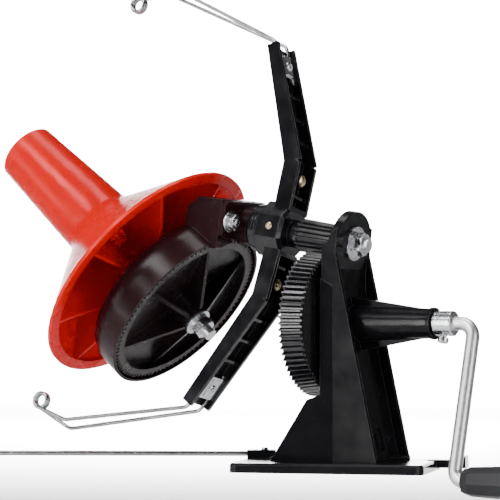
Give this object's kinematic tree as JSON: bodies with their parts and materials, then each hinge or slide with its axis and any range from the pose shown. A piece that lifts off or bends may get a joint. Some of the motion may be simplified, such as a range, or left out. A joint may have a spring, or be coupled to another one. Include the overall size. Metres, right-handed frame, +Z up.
{
  "type": "yarn ball winder",
  "caption": "Hand-cranked flyer yarn ball winder: gear-driven arms with wire guides turn round a tilted flared winding cone on a clamped stand.",
  "frame": {"origin": "centre of the base's underside", "axes": "+X towards the crank handle along the crank axis, +Y away from the side the handle hangs towards, +Z up"},
  "size_m": [0.5142, 0.2439, 0.33],
  "materials": {
    "stand_black": "semi-gloss moulded",
    "bracket_black": "gloss moulded",
    "gear_black": "satin moulded",
    "flyer_black": "gloss moulded",
    "cone_red": "gloss moulded",
    "grip_grey": "satin moulded",
    "bush_bronze": "sintered",
    "bright_steel": "drawn",
    "spring_wire": "drawn wire",
    "zinc_steel": "bright zinc",
    "clip_steel": "bright zinc",
    "brass_screw": "yellow zinc"
  },
  "bodies": {
    "root": {"base_plate": "stand_black", "stand": "stand_black", "stand_screws": "zinc_steel", "crank_bushes": "bush_bronze", "flyer_axle": "bright_steel", "axle_washers": "zinc_steel", "axle_nuts": "zinc_steel", "cone_bracket": "bracket_black", "bracket_cap": "bracket_black", "bracket_studs": "zinc_steel", "bracket_washers": "zinc_steel", "bracket_nuts": "zinc_steel", "spindle_bushes": "bush_bronze", "guide_set_screw": "zinc_steel"},
    "crank": {"crank_rod": "bright_steel", "shaft_collar": "zinc_steel", "collar_screw": "zinc_steel", "main_gear": "gear_black", "gear_washer": "zinc_steel", "gear_nut": "zinc_steel", "grip_retainer": "zinc_steel"},
    "grip": {"crank_grip": "grip_grey", "grip_cap": "grip_grey"},
    "flyer": {"flyer_sleeve": "bright_steel", "flyer_bushes": "bush_bronze", "drive_pinion": "gear_black", "cone_pinion": "gear_black", "flyer_hub": "flyer_black", "hub_screws": "brass_screw", "arm_upper": "flyer_black", "arm_lower": "flyer_black", "arm_screws": "brass_screw", "wire_guide_upper": "spring_wire", "wire_guide_lower": "spring_wire", "wire_clips": "clip_steel", "clip_screws": "clip_steel"},
    "cone": {"cone_gear": "gear_black", "spindle": "bright_steel", "spindle_washers": "zinc_steel", "spindle_nuts": "zinc_steel", "winding_cone": "cone_red"},
    "yarn_guide": {"yarn_guide_rod": "spring_wire"}
  },
  "joints": [
    {"name": "crank_turn", "type": "hinge", "parent": "root", "child": "crank", "pos_m": [0.005, 0.015, 0.091], "axis": [1, 0, 0], "continuous": true},
    {"name": "grip_spin", "type": "hinge", "parent": "crank", "child": "grip", "pos_m": [0.125, -0.01365, -0.00272], "axis": [1, 0, 0], "continuous": true},
    {"name": "flyer_turn", "type": "hinge", "parent": "root", "child": "flyer", "pos_m": [0.005, 0.015, 0.141], "axis": [0.9877, 0, -0.1564], "continuous": true},
    {"name": "cone_turn", "type": "hinge", "parent": "root", "child": "cone", "pos_m": [-0.21032, 0.015, 0.1751], "axis": [0.766, 0, -0.6428], "continuous": true},
    {"name": "guide_tilt", "type": "hinge", "parent": "root", "child": "yarn_guide", "pos_m": [-0.0635, 0.0045, 0.0086], "axis": [0.8746, 0.4848, 0], "range_deg": [-70, 70]}
  ],
  "couplings": [
    {"joint": "flyer_turn", "follows": "crank_turn", "ratio": -4.8},
    {"joint": "cone_turn", "follows": "crank_turn", "ratio": 0.95}
  ]
}
